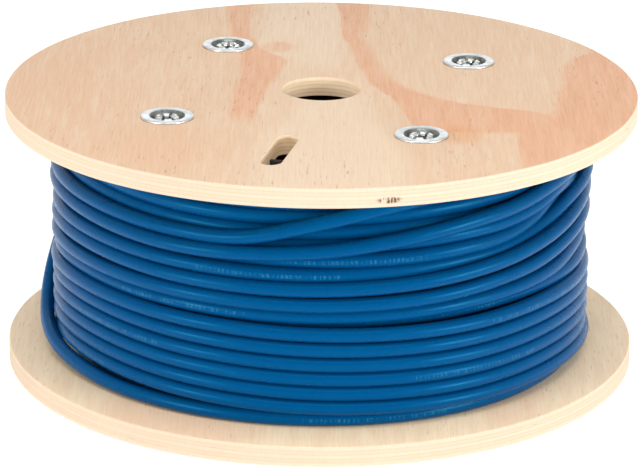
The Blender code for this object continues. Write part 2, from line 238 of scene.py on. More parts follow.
INNER_LAYER_RADII = (98.8, 105.8, 112.8)
TURNS_A_LAYER = 15
SLOT_AZIMUTH = -101.2
INNER_STEP = 8.0
OUTER_STEP = 2.0
SETTLING_STEP = 5.0
SETTLING_PASSES = 160
SETTLING_SLACK = 0.04
SETTLING_RECALL = 0.985
NEIGHBOURS = 24
VISIBLE_YIELD = 0.35
TUBE_SIDES = 14


def regular_turn(lane):
    return [
        (azimuth, lane + wave, radius)
        for azimuth, wave, radius in zip(REGULAR_AZIMUTHS, REGULAR_WAVE, REGULAR_RADII)
    ]


def chain(turns):
    """Joins turns end to end as (travel in degrees, height, radius), each a full turn on."""
    return [
        (360.0 * number - azimuth, height, radius)
        for number, turn in enumerate(turns)
        for azimuth, height, radius in turn
    ]


def through(stations, at):
    """A smooth curve through stations of (travel, height, radius), at the given travels."""
    stations = np.array(stations, float)
    x = stations[:, 0]
    out = []
    for column in (1, 2):
        y = stations[:, column]
        step = np.diff(x)
        slope = np.diff(y) / step
        tangent = np.empty_like(y)
        tangent[1:-1] = (slope[:-1] * step[1:] + slope[1:] * step[:-1]) / (step[:-1] + step[1:])
        tangent[0] = slope[0]
        tangent[-1] = slope[-1]
        i = np.clip(np.searchsorted(x, at, side="right") - 1, 0, len(x) - 2)
        h = step[i]
        t = (at - x[i]) / h
        out.append(
            y[i] * (1 + 2 * t) * (1 - t) ** 2
            + tangent[i] * h * t * (1 - t) ** 2
            + y[i + 1] * t * t * (3 - 2 * t)
            + tangent[i + 1] * h * t * t * (t - 1)
        )
    return out


def hidden_turn(lane):
    return [(0, lane, FOURTH_LAYER_RADIUS), (-180, lane, FOURTH_LAYER_RADIUS)]


def inner_route():
    """The first three layers from the slot, as rows of (travel in degrees, height, radius)."""
    low = LOWEST_LANE / MM
    high = HIGHEST_LANE / MM
    start = -SLOT_AZIMUTH
    first_radius = INNER_LAYER_RADII[0]
    rows = [
        (start - 1.5, high + 4.2, first_radius + 1.2),
        (start + 2.5, high + 1.6, first_radius + 0.4),
        (start + 7.0, high + 0.2, first_radius),
    ]
    travel = start + 14.0
    layer_steps = int(TURNS_A_LAYER * 360 / INNER_STEP)
    climb_steps = int(360 / INNER_STEP)
    first, last = high, low
    for radius in INNER_LAYER_RADII:
        for step in range(layer_steps + 1):
            share = step / layer_steps
            rows.append((travel + step * INNER_STEP, first + (last - first) * share, radius))
        travel = rows[-1][0]
        for step in range(1, climb_steps):
            beside = CABLE_DIAMETER * (1 - step / climb_steps)
            climb = sqrt(CABLE_DIAMETER**2 - beside**2) / MM
            rows.append((travel + step * INNER_STEP, last, radius + climb))
        travel += 360
        first, last = last, first
    return rows, travel


def settle(heights, radii, movable):
    """Moves the turns of the outer layers apart until no two of them share the same space.

    The arrays hold one row for each turn and one column for each azimuth, in mm.
    """
    spacing = CABLE_DIAMETER / MM - SETTLING_SLACK
    low = LOWEST_LANE / MM
    high = HIGHEST_LANE / MM
    shift = np.zeros((2, *heights.shape))
    wanted = np.stack([heights, radii])
    present = ~np.isnan(heights)
    turns = heights.shape[0]
    for _ in range(SETTLING_PASSES):
        at = wanted + shift
        push = np.zeros_like(shift)
        for near in range(1, min(NEIGHBOURS, turns)):
            apart = at[:, near:] - at[:, :-near]
            far = np.sqrt((apart**2).sum(0))
            overlap = np.where(far < spacing, spacing - far, 0.0)
            overlap[np.isnan(far)] = 0.0
            share = movable[:-near] / (movable[:-near] + movable[near:])
            way = np.nan_to_num(apart / np.maximum(far, 1e-6))
            push[:, near:] += way * overlap * (1 - share)
            push[:, :-near] -= way * overlap * share
        shift += 0.5 * push
        flat = shift.reshape(2, -1)
        real = present.reshape(-1)
        lone = flat.copy()
        lone[:, 1:-1] = 0.5 * flat[:, 1:-1] + 0.25 * (flat[:, :-2] + flat[:, 2:])
        flat[:, real] = lone[:, real]
        shift = flat.reshape(shift.shape) * SETTLING_RECALL
        at = wanted + shift
        shift[0] = np.clip(at[0], low, high) - wanted[0]
        shift[1] = np.maximum(at[1], FOURTH_LAYER_RADIUS - 0.6) - wanted[1]
        shift[:, ~present] = 0.0
    return shift


def outer_route(travel):
    """The fourth and fifth layers and the climb to the staples, as travel, height and radius."""
    fourth = [hidden_turn(lane) for lane in HIDDEN_LANES_LOW]
    fourth.append(SURFACING_TURN_7)
    fourth += [hidden_turn(lane) for lane in HIDDEN_LANES_HIGH]
    fourth += [SURFACING_TURN_11, SURFACING_TURN_12, UPPER_TURN_1, UPPER_TURN_2, UPPER_TURN_3]
    fifth = [CROSSING_TURN, PROUD_TURN, TURN_11, TURN_10, TURN_9, TURN_8]
    fifth += [regular_turn(lane) for lane in REGULAR_LANES]
    fifth.append(LOWEST_TURN)
    turns = fourth + fifth
    stations = chain(turns)
    last_turn = 360.0 * (len(turns) - 1)
    stations += [(last_turn - azimuth, height, radius) for azimuth, height, radius in CLIMB_TO_END]
    begin = travel % 360
    end = stations[-1][0]
    stations = [s for s in stations if s[0] > begin + 30]
    stations.insert(0, (begin, LOWEST_LANE / MM, FOURTH_LAYER_RADIUS))
    columns = int(360 / SETTLING_STEP)
    rows = ceil(end / 360)
    grid = np.arange(rows * columns) * SETTLING_STEP
    height, radius = through(stations, grid)
    outside = (grid < begin) | (grid > end)
    height[outside] = np.nan
    radius[outside] = np.nan
    movable = np.full((rows, columns), VISIBLE_YIELD)
    movable[: len(HIDDEN_LANES_LOW)] = 1.0
    first_high = len(HIDDEN_LANES_LOW) + 1
    movable[first_high : first_high + len(HIDDEN_LANES_HIGH)] = 1.0
    shift = settle(height.reshape(rows, columns), radius.reshape(rows, columns), movable)
    at = np.append(np.arange(begin + OUTER_STEP, end, OUTER_STEP), end)
    height, radius = through(stations, at)
    height += np.interp(at, grid, shift[0].reshape(-1))
    radius += np.interp(at, grid, shift[1].reshape(-1))
    return at + (travel - begin), height, radius


def cable_route():
    """The whole centreline, as points in metres."""
    rows, travel = inner_route()
    inner = np.array(rows)
    outer = np.stack(outer_route(travel), axis=1)
    rows = np.concatenate([inner, outer])
    angle = -np.radians(rows[:, 0])
    height = rows[:, 1] * MM
    radius = rows[:, 2] * MM
    return np.stack([radius * np.cos(angle), radius * np.sin(angle), height], axis=1)


def unit(vectors):
    return vectors / np.linalg.norm(vectors, axis=-1, keepdims=True)


def ring_ways(points):
    """The way out from the spool and the way up at each point, both square to the route."""
    ahead = np.empty_like(points)
    ahead[1:-1] = points[2:] - points[:-2]
    ahead[0] = points[1] - points[0]
    ahead[-1] = points[-1] - points[-2]
    ahead = unit(ahead)
    outward = points * np.array([1.0, 1.0, 0.0])
    outward = unit(outward - ahead * (outward * ahead).sum(1, keepdims=True))
    return outward, np.cross(outward, ahead)


def tube(name, points, radius, sides):
    """A round tube along points, with its turn and its length stored as a UV map."""
    outward, upward = ring_ways(points)
    turn = np.linspace(0, tau, sides, endpoint=False)
    out_share = np.cos(turn)[None, :, None]
    up_share = np.sin(turn)[None, :, None]
    ring = outward[:, None] * out_share + upward[:, None] * up_share
    vertices = (points[:, None] + radius * ring).reshape(-1, 3)
    count = len(points)
    start = (np.arange(count - 1) * sides)[:, None]
    side = np.arange(sides)[None, :]
    after = (side + 1) % sides
    corners = (start + side, start + after, start + sides + after, start + sides + side)
    quads = np.stack(corners, axis=-1).reshape(-1, 4)
    mesh = bpy.data.meshes.new(name)
    mesh.from_pydata(vertices.tolist(), [], quads.tolist())
    steps = np.linalg.norm(np.diff(points, axis=0), axis=1)
    along = np.concatenate([[0], np.cumsum(steps)])
    around = np.concatenate([turn, [tau]]) / tau
    u = np.stack([around[:-1], around[1:], around[1:], around[:-1]], axis=-1)
    u = np.tile(u, (count - 1, 1))
    v = np.stack([along[:-1], along[:-1], along[1:], along[1:]], axis=-1)
    v = np.repeat(v, sides, axis=0)
    layer = mesh.uv_layers.new(name="along_cable")
    layer.data.foreach_set("uv", np.stack([u, v], axis=-1).astype(np.float32).ravel())
    mesh.shade_smooth()
    return link(bpy.data.objects.new(name, mesh))


# ---- Solids and cutters ----


def circle(bm, centre, side, rise, radius, count):
    """A ring of vertices round centre, in the plane of side and rise."""
    ring = []
    for i in range(count):
        turn = tau * i / count
        across = side * radius * cos(turn)
        ring.append(bm.verts.new(centre + across + rise * radius * sin(turn)))
    return ring


def stitch(bm, rings, capped=False, slot=0):
    """Joins each ring of vertices to the next, and caps the first and the last if asked."""
    for near, far in zip(rings, rings[1:]):
        for i in range(len(near)):
            j = (i + 1) % len(near)
            bm.faces.new((near[i], near[j], far[j], far[i])).material_index = slot
    if capped:
        bm.faces.new(rings[0])
        bm.faces.new(rings[-1])


def smooth(mesh, sharp):
    """Shades a mesh smooth but for edges sharper than an angle in degrees."""
    mesh.shade_smooth()
    mesh.set_sharp_from_angle(angle=radians(sharp))


def solid(name, bm, sharp=30.0):
    bmesh.ops.recalc_face_normals(bm, faces=bm.faces)
    mesh = bpy.data.meshes.new(name)
    bm.to_mesh(mesh)
    bm.free()
    smooth(mesh, sharp)
    return link(bpy.data.objects.new(name, mesh))


def turned(name, profile, segments, wobble=None, sharp=30.0):
    """A ring solid from a closed profile of (radius, z) points, optionally not quite round."""
    bm = bmesh.new()
    rings = []
    for radius, z in profile:
        ring = []
        for i in range(segments):
            angle = tau * i / segments
            reach = radius + (wobble(radius, angle) if wobble else 0.0)
            ring.append(bm.verts.new(on_spool(reach, angle, z)))
        rings.append(ring)
    stitch(bm, rings + rings[:1])
    return solid(name, bm, sharp)


def plug(name, profile, segments, at):
    """A capped turned cutter, from a profile of (radius, z) points along its axis."""
    bm = bmesh.new()
    x_way, y_way, z_way = Matrix.Identity(3)
    rings = [circle(bm, at + z_way * z, x_way, y_way, radius, segments) for radius, z in profile]
    stitch(bm, rings, capped=True)
    return solid(name, bm)


def prism(name, outline, bottom, top):
    bm = bmesh.new()
    rings = [[bm.verts.new((x, y, level)) for x, y in outline] for level in (bottom, top)]
    stitch(bm, rings, capped=True)
    return solid(name, bm)


def bake(piece):
    """Applies a piece's modifiers."""
    bpy.context.view_layer.update()
    graph = bpy.context.evaluated_depsgraph_get()
    mesh = bpy.data.meshes.new_from_object(piece.evaluated_get(graph))
    piece.modifiers.clear()
    old = piece.data
    piece.data = mesh
    bpy.data.meshes.remove(old)
    mesh.name = piece.name


def cut_away(piece, cutters):
    """Cuts the cutters out of piece, keeps the result as its mesh and removes the cutters."""
    for cutter in cutters:
        boolean = piece.modifiers.new(cutter.name, "BOOLEAN")
        boolean.operation = "DIFFERENCE"
        boolean.solver = "EXACT"
        boolean.object = cutter
    bake(piece)
    for cutter in cutters:
        bpy.data.objects.remove(cutter, do_unlink=True)


def soften(piece, width):
    """Rounds a piece's sharper edges."""
    bevel = piece.modifiers.new("soften", "BEVEL")
    bevel.width = width
    bevel.segments = 2
    bevel.limit_method = "ANGLE"
    bevel.angle_limit = radians(50)
    bevel.harden_normals = False
    bake(piece)
    smooth(piece.data, 45)


def cable_cut(name, point, ahead):
    """What shows of the cable's square-cut end: the jacket's wall, foil and four twisted pairs."""
    ahead = Vector(ahead).normalized()
    side = ahead.orthogonal().normalized()
    rise = ahead.cross(side)
    centre = Vector(point)
    bm = bmesh.new()
    wall = CABLE_RADIUS - 0.75 * MM
    lip = ((CABLE_RADIUS, 0.0), (CABLE_RADIUS - 0.12 * MM, 0.1 * MM))
    lip += ((wall, 0.08 * MM), (wall - 0.05 * MM, CUT_RECESS))
    rings = [
        circle(bm, centre + ahead * depth, side, rise, radius, CUT_SIDES) for radius, depth in lip
    ]
    stitch(bm, rings)
    bm.faces.new(rings[-1]).material_index = 1
    core = ((CORE_RADIUS, CUT_RECESS), (CORE_RADIUS, 0.35 * MM))
    core += ((CORE_RADIUS - 0.18 * MM, 0.42 * MM),)
    for number in range(8):
        turn = tau * (number // 2) / 4 + (0.42 if number % 2 else -0.42) + 0.3
        spot = centre + (side * cos(turn) + rise * sin(turn)) * CORE_CIRCLE
        rings = [
            circle(bm, spot + ahead * depth, side, rise, radius, CORE_SIDES)
            for radius, depth in core
        ]
        stitch(bm, rings, slot=2 + number % 2)
        bm.faces.new(rings[-1]).material_index = 4
    piece = solid(name, bm, 40)
    return place(piece, (jacket, foil, core_white, core_colour, copper), "blue_jacket")


# ---- Flanges ----


def board_wobble(radius, angle):
    """A sawn round is never quite true."""
    if radius < 0.9 * FLANGE_RADIUS:
        return 0.0
    waves = 0.5 * sin(3 * angle + 0.6) + 0.3 * sin(11 * angle + 2.0)
    return BOARD_WOBBLE * (waves + 0.2 * sin(29 * angle) - 1.0)


def board_profile(outer, inwards):
    """A board's half section, with its sawn edges eased and a groove for the barrel."""
    inner = outer + inwards * (TOP_OUTER - TOP_INNER)
    groove_floor = inner - inwards * GROOVE_DEPTH
    groove_out = BARREL_RADIUS + GAP
    groove_in = BARREL_RADIUS - BARREL_WALL - GAP
    ease = (EDGE_EASING, inwards * EDGE_EASING)
    corner = FLANGE_RADIUS - EDGE_EASING
    quarter = 0.5 * pi
    return [
        (ARBOR_RADIUS, outer + inwards * BORE_EASING),
        (ARBOR_RADIUS + BORE_EASING, outer),
        *arc((corner, outer + ease[1]), ease, -quarter, quarter, 4),
        *arc((corner, inner - ease[1]), ease, 0.0, quarter, 4),
        (groove_out, inner),
        (groove_out, groove_floor),
        (groove_in, groove_floor),
        (groove_in, inner),
        (ARBOR_RADIUS + BORE_EASING, inner),
        (ARBOR_RADIUS, inner - inwards * BORE_EASING),
    ]


def seat_cutters(outer, inwards):
    """For each tie, the washer's rebate, its bowl and the tie's hole, as one cutter."""
    rebate = WASHER_GAUGE - WASHER_PROUD + GAP
    bowl = DISH_DEPTH + rebate
    depths = [
        (WASHER_RADIUS + 0.5 * MM, -CUTTER_OVERSHOOT),
        (WASHER_RADIUS + 0.5 * MM, 0.0),
        (WASHER_RADIUS + 0.1 * MM, rebate),
        (DISH_MOUTH + WASHER_GAUGE, rebate),
        (DISH_FLOOR + 2 * GAP, bowl),
        (TUBE_RADIUS + GAP, bowl),
        (TUBE_RADIUS + GAP, 14 * MM),
    ]
    profile = [(radius, outer + inwards * depth) for radius, depth in depths]
    return [
        plug(f"seat_{i}", profile, 64, on_spool(TIE_RADIUS, angle, 0.0))
        for i, angle in enumerate(TIE_ANGLES)
    ]


def slot_outline():
    end_radius = SLOT_WIDTH / 2
    straight = SLOT_LENGTH / 2 - end_radius
    points = []
    for way in (SLOT_ANGLE, SLOT_ANGLE + pi):
        end = SLOT_CENTRE + on_spool(straight, way, 0.0).xy
        points += arc(end, (end_radius, end_radius), way - 0.5 * pi, pi, 16)
    return points


def add_splinters(board):
    """Torn fibres round the lower edge of the slot's outer end, where the saw broke through."""
    outline = slot_outline()
    centre = SLOT_CENTRE.to_3d()
    bm = bmesh.new()
    bm.from_mesh(board.data)
    for number in range(SPLINTERS):
        station = FIRST_TORN_STATION + number * TORN_STATIONS // (SPLINTERS - 1)
        corner = Vector((*outline[station % len(outline)], 0.0))
        wave = sin(2.4 * number + 0.7)
        inward = (centre - corner).normalized()
        inward += Vector((0.35 * wave, 0.2 * cos(3.1 * number), 0))
        inward.normalize()
        across = Vector((-inward.y, inward.x, 0.0))
        across *= (0.55 + 0.25 * cos(1.3 * number)) * MM
        thick = Vector((0, 0, 0.32 * MM))
        height = TOP_INNER + (1.6 + 1.3 * wave) * MM
        base = corner + Vector((0, 0, height)) - inward * 0.8 * MM
        length = (2.6 + 1.5 * sin(1.9 * number)) * MM
        root = (base + across, base + thick, base - across, base - thick)
        root = [bm.verts.new(place_at) for place_at in root]
        tip = bm.verts.new(base + inward * length + Vector((0, 0, -0.35 * length)))
        bm.faces.new(root)
        for i in range(4):
            bm.faces.new((root[i], root[(i + 1) % 4], tip))
    bmesh.ops.recalc_face_normals(bm, faces=bm.faces)
    bm.to_mesh(board.data)
    bm.free()


def staple_radii(angle):
    """The radii of a staple's two legs, astride the cable at that angle."""
    share = smoothstep(-angle * 180 / pi, 247.0, 277.0)
    middle = (134.2 + 3.0 * share) * MM
    half_span = CABLE_RADIUS + GAP + STAPLE_WIRE
    return middle - half_span, middle + half_span


def make_board(name, outer, inwards, cutters, face, node):
    board = turned(name, board_profile(outer, inwards), BOARD_SEGMENTS, board_wobble)
    cut_away(board, cutters)
    smooth(board.data, 32)
    if node == "flange_top":
        add_splinters(board)
    board.data.materials.clear()
    place(board, (ply_edge, face, ply_bore_painted_light), "plywood", node)
    # Faces that face up or down take the veneer; walls inside the rim take the bore copy of the
    # edge material, whose colours carry painted light.
    for polygon in board.data.polygons:
        if abs(polygon.normal.z) > 0.7:
            polygon.material_index = 1
        elif polygon.center.xy.length < 0.9 * FLANGE_RADIUS:
            polygon.material_index = 2


def make_boards():
    seats = seat_cutters(BOTTOM_OUTER, 1)
    make_board("lower_board", BOTTOM_OUTER, 1, seats, ply_lower_face, "flange_bottom")
    cutters = seat_cutters(TOP_OUTER, -1)
    below = TOP_INNER - CUTTER_OVERSHOOT
    cutters.append(prism("slot_cutter", slot_outline(), below, TOP_OUTER + CUTTER_OVERSHOOT))
    hole_radius = STAPLE_WIRE + 0.1 * MM
    hole = [(hole_radius, below), (hole_radius, TOP_INNER + STAPLE_DEPTH + 0.2 * MM)]
    for angle in STAPLE_ANGLES:
        for radius in staple_radii(angle):
            cutters.append(plug("staple_hole", hole, 12, on_spool(radius, angle, 0.0)))
    make_board("upper_board", TOP_OUTER, -1, cutters, ply_top_face, "flange_top")


# ---- Fasteners and barrel ----


def washer_shape(outer, inwards):
    """A dished washer's half section: a flat rim with rounded edges, and a bowl with a soft lip."""
    rim = outer - inwards * WASHER_PROUD
    depths = [
        (WASHER_RADIUS, 0.55 * MM),
        (WASHER_RADIUS - 0.06 * MM, 0.22 * MM),
        (WASHER_RADIUS - 0.3 * MM, 0.04 * MM),
        (WASHER_RADIUS - 0.8 * MM, 0.0),
        (DISH_MOUTH + 1.1 * MM, 0.0),
        (DISH_MOUTH + 0.5 * MM, 0.12 * MM),
        (DISH_MOUTH, 0.5 * MM),
        (DISH_MOUTH - 0.35 * MM, 1.1 * MM),
        (DISH_FLOOR + 0.3 * MM, DISH_DEPTH - 0.6 * MM),
        (DISH_FLOOR - 0.1 * MM, DISH_DEPTH - 0.15 * MM),
        (DISH_FLOOR - 0.7 * MM, DISH_DEPTH),
        (TUBE_RADIUS + GAP, DISH_DEPTH),
        (TUBE_RADIUS + GAP, DISH_DEPTH + WASHER_GAUGE),
        (DISH_FLOOR + 0.2 * MM, DISH_DEPTH + WASHER_GAUGE),
        (DISH_MOUTH + 0.6 * MM, WASHER_GAUGE),
        (WASHER_RADIUS - 0.1 * MM, WASHER_GAUGE),
        (WASHER_RADIUS, WASHER_GAUGE - 0.15 * MM),
    ]
    return [(radius, rim + inwards * depth) for radius, depth in depths]


def make_washers():
    for end, outer, inwards in (("top", TOP_OUTER, -1), ("bottom", BOTTOM_OUTER, 1)):
        shape = washer_shape(outer, inwards)
        for number, angle in enumerate(TIE_ANGLES, 1):
            washer = turned(f"dished_washer_{end}_{number}", shape, 96, sharp=50)
            centre = on_spool(TIE_RADIUS, angle, 0.0)
            washer.data.transform(Matrix.Translation(centre))
            place(washer, (zinc, zinc_dish_painted_shade), "zinc_steel", f"washer_{end}_{number}")
            # Faces within the bowl take the far darker zinc, which is painted shade in the washer's
            # hollow.
            for polygon in washer.data.polygons:
                if (polygon.center.xy - centre.xy).length < DISH_MOUTH + 0.25 * MM:
                    polygon.material_index = 1


def petal_profile():
    """The rolled end: up out of the bore, over, down onto the washer, and back under."""
    return [
        (TUBE_BORE, -PETAL_REACH),
        (TUBE_BORE, -0.4 * MM),
        *arc((4.6 * MM, 0.8 * MM), (1.6 * MM, 1.7 * MM), pi, -1.15 * pi, 12),
        *arc((4.75 * MM, 0.55 * MM), (0.75 * MM, 0.6 * MM), -0.15 * pi, pi, 8),
        (TUBE_RADIUS, -0.3 * MM),
        (TUBE_RADIUS, -PETAL_REACH),
    ]


def make_tie_tube(number, angle):
    """A steel tube whose ends are split and rolled out into six petals."""
    top_floor = TOP_OUTER + WASHER_PROUD - DISH_DEPTH
    bottom_floor = BOTTOM_OUTER - WASHER_PROUD + DISH_DEPTH
    section = petal_profile()
    profile = [(radius, top_floor + height) for radius, height in section]
    profile += [(radius, bottom_floor - height) for radius, height in reversed(section)]
    tie = turned(f"tube_rivet_{number}", profile, 72, sharp=50)
    reach, wide, narrow = 8 * MM, 1.35 * MM, 0.35 * MM
    outline = [(-reach, -wide), (0, -narrow), (reach, -wide)]
    outline += [(-x, -y) for x, y in outline]
    saws = []
    for low, high in (
        (top_floor - 0.3 * MM, top_floor + PETAL_REACH),
        (bottom_floor - PETAL_REACH, bottom_floor + 0.3 * MM),
    ):
        for cut in range(SAW_CUTS):
            saw = prism("saw", outline, low, high)
            saw.data.transform(Matrix.Rotation(pi * cut / SAW_CUTS, 4, "Z"))
            saws.append(saw)
    cut_away(tie, saws)
    soften(tie, 0.14 * MM)
    tie.data.transform(Matrix.Rotation(angle + 0.2 * number, 4, "Z"))
    tie.data.transform(Matrix.Translation(on_spool(TIE_RADIUS, angle, 0.0)))
    place(tie, [zinc_petal], "zinc_steel", f"tie_tube_{number}")


def make_staple(number, angle):
    """A wire staple with rounded shoulders, its crown under the cable."""
    inner_leg, outer_leg = staple_radii(angle)
    top = TOP_INNER + STAPLE_DEPTH
    level = TOP_INNER - 2 * GAP - CABLE_DIAMETER - STAPLE_WIRE + STAPLE_BEND
    bend = (STAPLE_BEND, STAPLE_BEND)
    quarter = 0.5 * pi
    line = [(inner_leg, top)]
    line += arc((inner_leg + STAPLE_BEND, level), bend, pi, quarter, 8)
    line += arc((outer_leg - STAPLE_BEND, level), bend, 3 * quarter, quarter, 8)
    line.append((outer_leg, top))
    points = [on_spool(radius, angle, z) for radius, z in line]
    side = on_spool(1.0, angle + quarter, 0.0)
    bm = bmesh.new()
    rings = []
    for i, point in enumerate(points):
        ahead = (points[min(i + 1, len(points) - 1)] - points[max(i - 1, 0)]).normalized()
        out = side.cross(ahead) * STAPLE_FLATNESS
        rings.append(circle(bm, point, side, out, STAPLE_WIRE, STAPLE_SIDES))
    stitch(bm, rings, capped=True)
    staple = solid(f"wire_staple_{number}", bm, 40)
    place(staple, [staple_steel], "staple_wire", f"end_staple_{number}")


def make_barrel():
    """The paperboard tube between the boards."""
    bottom = BOTTOM_INNER - GROOVE_DEPTH + GAP
    top = TOP_INNER + GROOVE_DEPTH - GAP
    inside = BARREL_RADIUS - BARREL_WALL
    edge = 0.3 * MM
    profile = [
        (BARREL_RADIUS, bottom + edge),
        (BARREL_RADIUS, top - edge),
        (BARREL_RADIUS - edge, top),
        (inside + edge, top),
        (inside, top - edge),
        (inside, bottom + edge),
        (inside + edge, bottom),
        (BARREL_RADIUS - edge, bottom),
    ]
    barrel = turned("paperboard_barrel", profile, 180, sharp=50)
    place(barrel, [paperboard], "fibreboard", "barrel_tube")


# ---- Colours ----


def linear(red, green, blue):
    """A colour given in display values from 0 to 255, as linear light."""
    channels = []
    for value in (red, green, blue):
        share = value / 255
        channels.append(share / 12.92 if share <= 0.04045 else ((share + 0.055) / 1.055) ** 2.4)
    return tuple(channels)


JACKET_BLUE = linear(0, 70, 119)
JACKET_BLUE_DEEP = linear(0, 66, 114)
JACKET_SCUFF = linear(4, 94, 136)
PRINT_COLOUR = linear(70, 138, 162)
WOOD_BASE = linear(215, 183, 153)
WOOD_CREAM = linear(221, 198, 172)
LOWER_CREAM = linear(244, 222, 188)
LOWER_BASE = linear(238, 212, 178)
LOWER_PINK = linear(236, 200, 168)
WOOD_PEACH = linear(215, 178, 147)
WOOD_SALMON = linear(217, 169, 136)
WOOD_SALMON_DEEP = linear(211, 158, 123)
WOOD_STAIN = linear(212, 148, 92)
WOOD_FIBRE = linear(236, 222, 205)
WOOD_FLECK = linear(160, 112, 80)
EDGE_PALE = linear(207, 187, 165)
EDGE_END_GRAIN = linear(198, 172, 143)
EDGE_GLUE = linear(176, 142, 110)
# Brighter copies of the edge colours for the walls of the bore, slot, seats and groove: painted
# light, standing in for lamp light those walls do not get.
BORE_PALE_PAINTED_LIGHT = linear(255, 232, 200)
BORE_END_GRAIN_PAINTED_LIGHT = linear(244, 208, 164)
BORE_GLUE_PAINTED_LIGHT = linear(186, 130, 88)
EDGE_VOID = linear(70, 44, 30)
FLOOR_DULL = (0.93, 0.93, 0.93)
FLOOR_BRIGHT = (0.95, 0.95, 0.95)
WHITE = (1.0, 1.0, 1.0, 1.0)

# The jacket's printed dashes, in turns, metres and shares of the repeat
PRINT_HALF_HEIGHT = 0.045
PRINT_REPEAT = 0.61
PRINT_SHARE = 0.11
PRINT_PHASE = 0.20
PRINT_STROKE = 0.0021
PRINT_STRENGTH = 0.28

# The upper veneer's figure: curves of (y, x or half width) in mm, from edge to edge
FIGURE_REACH = 155.0
STREAK_MIDDLE = [
    (-155, -40), (-38, -37), (-17, -35), (0, -33.5), (17, -30.5), (30, -30), (47, -28.5),
    (58, -32), (72, -38), (90, -41), (155, -41),
]
STREAK_HALF_WIDTH = [
    (-155, 7), (-38, 7), (0, 8.5), (30, 10), (47, 11.5), (60, 8), (80, 6), (155, 6),
]
BAND_BORDER = [
    (-155, 60), (-66, 44), (-38, 38), (-17, 34.7), (0, 27.7), (17, 22), (35, 18.4),
    (52, 16.6), (74, 14), (90, 10), (121, 9), (155, 8),
]
ISLAND_SHORE = [
    (-155, 140), (-38, 104), (-28, 82), (-17, 60), (0, 43), (17, 34), (35, 29.5), (52, 27),
    (74, 24), (88, 20), (104, 22.5), (155, 25),
]
ISLAND_FAR_SHORE = [(-155, 90), (-38, 110), (17, 118), (52, 124), (66, 134), (155, 150)]

# The knot in the upper board's edge
KNOT_ANGLE = radians(-78.3)
KNOT_HEIGHT = 3.3 * MM
KNOT_HALF_WIDTH = 6.2 * MM
KNOT_HALF_HEIGHT = 1.7 * MM


# ---- Material nodes ----


